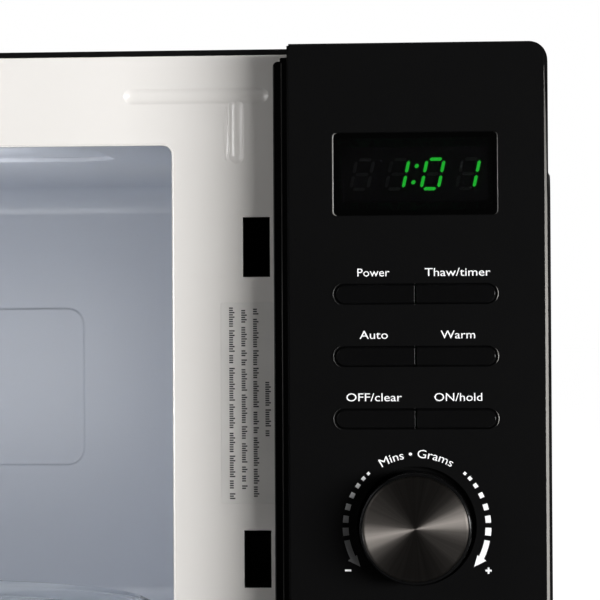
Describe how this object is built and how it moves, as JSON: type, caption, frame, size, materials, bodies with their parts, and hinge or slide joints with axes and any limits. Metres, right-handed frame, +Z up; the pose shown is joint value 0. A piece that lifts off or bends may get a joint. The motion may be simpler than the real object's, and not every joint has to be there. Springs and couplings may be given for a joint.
{
  "type": "microwave oven",
  "caption": "Countertop microwave oven with a side-hung door standing open, turntable cavity, push buttons, display and a turning knob.",
  "frame": {"origin": "under the middle of the cabinet, on the surface that the feet stand on", "axes": "+X to the right seen from the front, +Y from front to back, +Z up"},
  "size_m": [0.5635, 0.7392, 0.281],
  "materials": {
    "cabinet_paint": "fine textured black powder coat",
    "front_paint": "glossy cream white paint",
    "cavity_paint": "satin grey-blue enamel",
    "galvanised": "galvanised sheet",
    "steel": "bright steel",
    "aluminium": "pressed",
    "black_plastic": "fine matte moulded",
    "black_gloss": "semi-gloss moulded",
    "smoked_lens": "smoked clear",
    "led_green": "glowing green",
    "grey_plastic": "moulded",
    "white_plastic": "moulded",
    "circuit_board": "solder mask",
    "mica": "mica sheet",
    "core_steel": "varnished laminations",
    "copper_wire": "enamelled copper wire",
    "clear_glass": "clear tempered",
    "smoked_glass": "smoked tempered",
    "clear_film": "clear film",
    "knob_metal": "spun dark titanium",
    "foot_rubber": "moulded",
    "lamp_glass": "clear bulb"
  },
  "bodies": {
    "cabinet": {"outer_cover": "cabinet_paint", "base_plate": "galvanised", "rear_panel": "galvanised", "front_plate": "front_paint", "cavity_liner": "cavity_paint", "waveguide": "galvanised", "waveguide_cover": "mica", "control_panel": "black_plastic", "display_window": "smoked_lens", "led_display": "grey_plastic", "led_segments": "led_green", "control_board": "circuit_board", "tact_switches": "grey_plastic", "encoder_body": "steel", "magnetron": "aluminium", "hv_transformer_core": "core_steel", "hv_transformer_windings": "copper_wire", "hv_capacitor": "aluminium", "hv_diode": "grey_plastic", "fan_shroud": "white_plastic", "fan_motor": "core_steel", "air_duct": "white_plastic", "turntable_motor": "galvanised", "oven_lamp": "lamp_glass", "thermal_cutout": "grey_plastic", "filter_board": "circuit_board", "latch_housing": "black_plastic", "interlock_switches": "grey_plastic", "cord_gland": "black_plastic", "feet": "foot_rubber", "cabinet_screws": "steel", "hinge_upper": "steel", "hinge_lower": "steel"},
    "door": {"door_frame": "black_plastic", "door_glass": "smoked_glass", "door_inner_panel": "front_paint", "door_screen": "grey_plastic", "door_inner_film": "clear_film", "door_choke_cover": "grey_plastic"},
    "latch": {"door_latch": "grey_plastic", "latch_spring": "steel"},
    "knob": {"knob_body": "black_gloss", "knob_cap": "knob_metal", "encoder_shaft": "steel"},
    "release_button": {"door_release_button": "black_gloss"},
    "lever": {"release_lever": "black_plastic"},
    "fan": {"fan_blade": "white_plastic"},
    "turntable": {"drive_coupler": "white_plastic", "glass_plate": "clear_glass"},
    "ring": {"roller_ring": "white_plastic"},
    "roller_a": {"roller_1": "white_plastic"},
    "roller_b": {"roller_2": "white_plastic"},
    "roller_c": {"roller_3": "white_plastic"},
    "micro_key": {"button_micro": "black_gloss"},
    "defrost_key": {"button_defrost": "black_gloss"},
    "menu_key": {"button_menu": "black_gloss"},
    "reheat_key": {"button_reheat": "black_gloss"},
    "stop_key": {"button_stop": "black_gloss"},
    "start_key": {"button_start": "black_gloss"}
  },
  "joints": [
    {"name": "door_hinge", "type": "hinge", "parent": "cabinet", "child": "door", "pos_m": [-0.231, -0.1915, 0.146], "axis": [0, 0, 1], "range_deg": [0, 100]},
    {"name": "latch_slide", "type": "slide", "parent": "door", "child": "latch", "axis": [0, 0, 1], "range_m": [0, 0.004], "stiffness_N_per_m": 300, "springref_m": -0.002, "deforming": ["latch_spring"]},
    {"name": "knob_turn", "type": "hinge", "parent": "cabinet", "child": "knob", "pos_m": [0.1906, -0.218, 0.1014], "axis": [0, -1, 0], "continuous": true},
    {"name": "release_press", "type": "slide", "parent": "cabinet", "child": "release_button", "axis": [0, 1, 0], "range_m": [0, 0.004], "stiffness_N_per_m": 600, "springref_m": -0.002},
    {"name": "lever_turn", "type": "hinge", "parent": "cabinet", "child": "lever", "pos_m": [0.1317, -0.15, 0.027], "axis": [-1, 0, 0], "range_deg": [0, 10.1]},
    {"name": "fan_spin", "type": "hinge", "parent": "cabinet", "child": "fan", "pos_m": [0.178, 0.16, 0.211], "axis": [0, 1, 0], "continuous": true},
    {"name": "turntable_spin", "type": "hinge", "parent": "cabinet", "child": "turntable", "pos_m": [-0.0594, -0.0332, 0.0353], "axis": [0, 0, 1], "continuous": true},
    {"name": "ring_spin", "type": "hinge", "parent": "cabinet", "child": "ring", "pos_m": [-0.0594, -0.0332, 0.0383], "axis": [0, 0, 1], "continuous": true},
    {"name": "roller_a_spin", "type": "hinge", "parent": "ring", "child": "roller_a", "pos_m": [-0.0594, 0.0683, 0.0383], "axis": [0, 1, 0], "continuous": true},
    {"name": "roller_b_spin", "type": "hinge", "parent": "ring", "child": "roller_b", "pos_m": [-0.1473, -0.08395, 0.0383], "axis": [-0.866, -0.5, 0], "continuous": true},
    {"name": "roller_c_spin", "type": "hinge", "parent": "ring", "child": "roller_c", "pos_m": [0.0285, -0.08395, 0.0383], "axis": [0.866, -0.5, 0], "continuous": true},
    {"name": "micro_press", "type": "slide", "parent": "cabinet", "child": "micro_key", "axis": [0, 1, 0], "range_m": [0, 0.001], "stiffness_N_per_m": 1200, "springref_m": -0.0005},
    {"name": "defrost_press", "type": "slide", "parent": "cabinet", "child": "defrost_key", "axis": [0, 1, 0], "range_m": [0, 0.001], "stiffness_N_per_m": 1200, "springref_m": -0.0005},
    {"name": "menu_press", "type": "slide", "parent": "cabinet", "child": "menu_key", "axis": [0, 1, 0], "range_m": [0, 0.001], "stiffness_N_per_m": 1200, "springref_m": -0.0005},
    {"name": "reheat_press", "type": "slide", "parent": "cabinet", "child": "reheat_key", "axis": [0, 1, 0], "range_m": [0, 0.001], "stiffness_N_per_m": 1200, "springref_m": -0.0005},
    {"name": "stop_press", "type": "slide", "parent": "cabinet", "child": "stop_key", "axis": [0, 1, 0], "range_m": [0, 0.001], "stiffness_N_per_m": 1200, "springref_m": -0.0005},
    {"name": "start_press", "type": "slide", "parent": "cabinet", "child": "start_key", "axis": [0, 1, 0], "range_m": [0, 0.001], "stiffness_N_per_m": 1200, "springref_m": -0.0005}
  ],
  "couplings": [
    {"joint": "lever_turn", "follows": "release_press", "rad_per_m": 43.75},
    {"joint": "ring_spin", "follows": "turntable_spin", "ratio": 0.5},
    {"joint": "roller_a_spin", "follows": "turntable_spin", "ratio": -8.4583},
    {"joint": "roller_b_spin", "follows": "turntable_spin", "ratio": -8.4583},
    {"joint": "roller_c_spin", "follows": "turntable_spin", "ratio": -8.4583}
  ]
}
